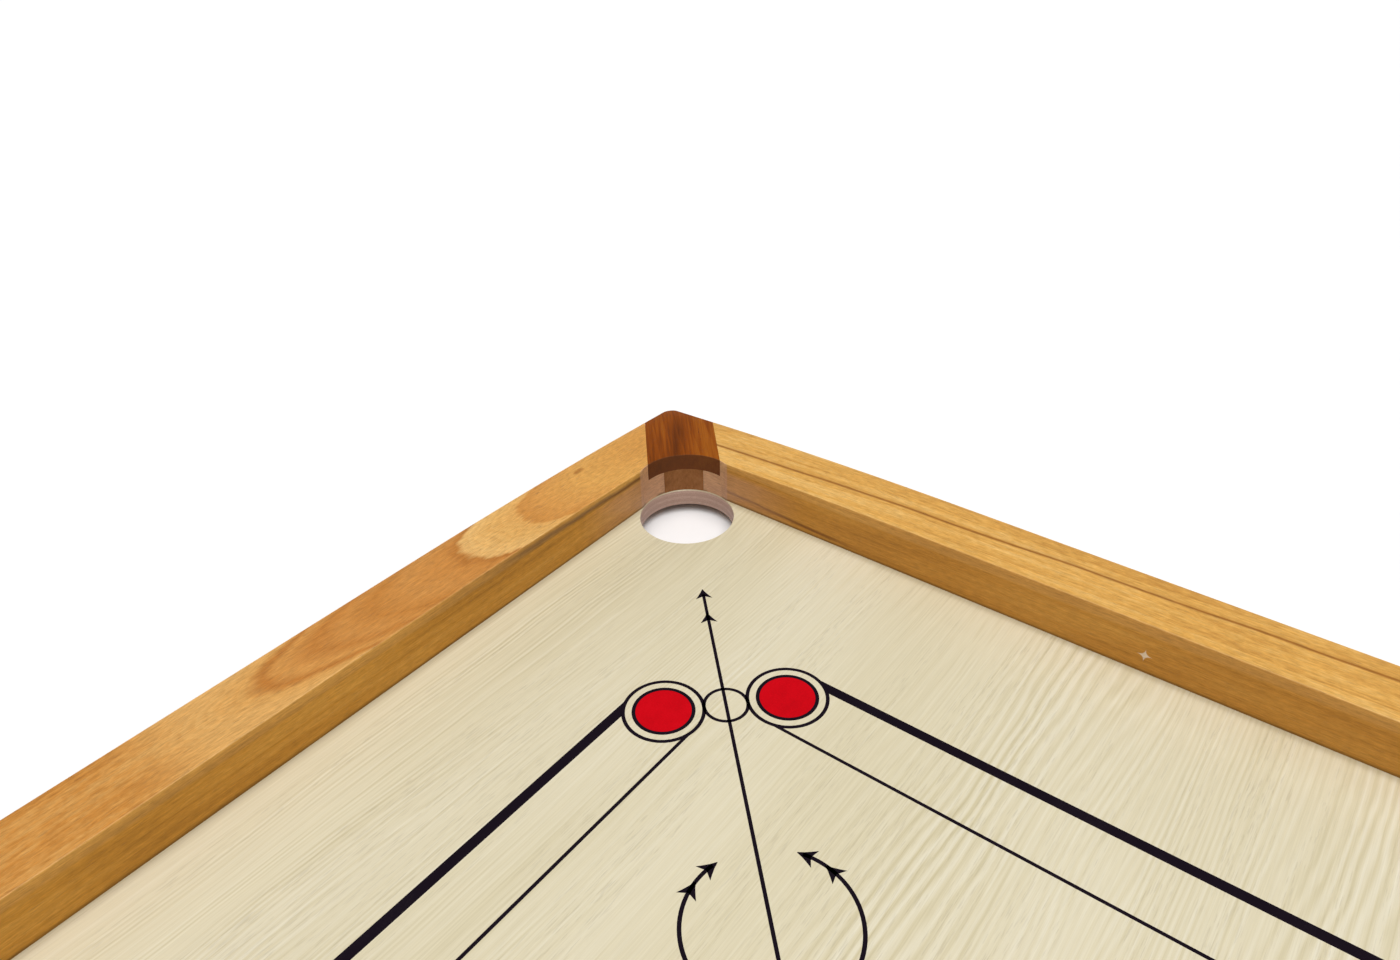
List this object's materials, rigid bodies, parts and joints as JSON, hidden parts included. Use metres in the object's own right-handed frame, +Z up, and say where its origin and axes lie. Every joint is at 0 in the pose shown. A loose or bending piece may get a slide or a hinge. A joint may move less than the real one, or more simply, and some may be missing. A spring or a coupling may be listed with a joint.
{
  "type": "carrom board",
  "caption": "Square wooden game board with a raised hardwood frame, a pale veneered playing surface and a round pocket through each corner.",
  "frame": {"origin": "middle of the face that the frame stands on, at the bottom of the board", "axes": "+Z up out of the playing surface, +X towards the east rail, +Y towards the north rail"},
  "size_m": [0.762, 0.762, 0.0381],
  "materials": {
    "playing_board": "pale ash veneer on plywood, clear satin lacquer, black and red printed lines",
    "rail_wood": "golden hardwood, clear gloss lacquer",
    "inlay_wood": "dark red-brown hardwood, clear gloss lacquer",
    "key_wood": "mid-brown hardwood, clear lacquer",
    "batten_wood": "plain planed softwood, unfinished",
    "screw": "yellow zinc plated"
  },
  "bodies": {
    "root": {"playing_board": "playing_board", "rail_east": "rail_wood", "rail_north": "rail_wood", "rail_west": "rail_wood", "rail_south": "rail_wood", "corner_key_north_east": "key_wood", "corner_key_north_west": "key_wood", "corner_key_south_west": "key_wood", "corner_key_south_east": "key_wood", "corner_inlay_north_east": "inlay_wood", "corner_inlay_north_west": "inlay_wood", "corner_inlay_south_west": "inlay_wood", "corner_inlay_south_east": "inlay_wood", "batten_long": "batten_wood", "batten_north": "batten_wood", "batten_south": "batten_wood", "rail_screw_east_1": "screw", "rail_screw_east_2": "screw", "rail_screw_east_3": "screw", "rail_screw_east_4": "screw", "rail_screw_north_1": "screw", "rail_screw_north_2": "screw", "rail_screw_north_3": "screw", "rail_screw_north_4": "screw", "rail_screw_west_1": "screw", "rail_screw_west_2": "screw", "rail_screw_west_3": "screw", "rail_screw_west_4": "screw", "rail_screw_south_1": "screw", "rail_screw_south_2": "screw", "rail_screw_south_3": "screw", "rail_screw_south_4": "screw", "batten_screw_1": "screw", "batten_screw_2": "screw", "batten_screw_3": "screw", "batten_screw_4": "screw", "batten_screw_5": "screw", "batten_screw_6": "screw", "batten_screw_7": "screw", "batten_screw_8": "screw", "batten_screw_9": "screw", "batten_screw_10": "screw", "batten_screw_11": "screw"}
  },
  "joints": []
}
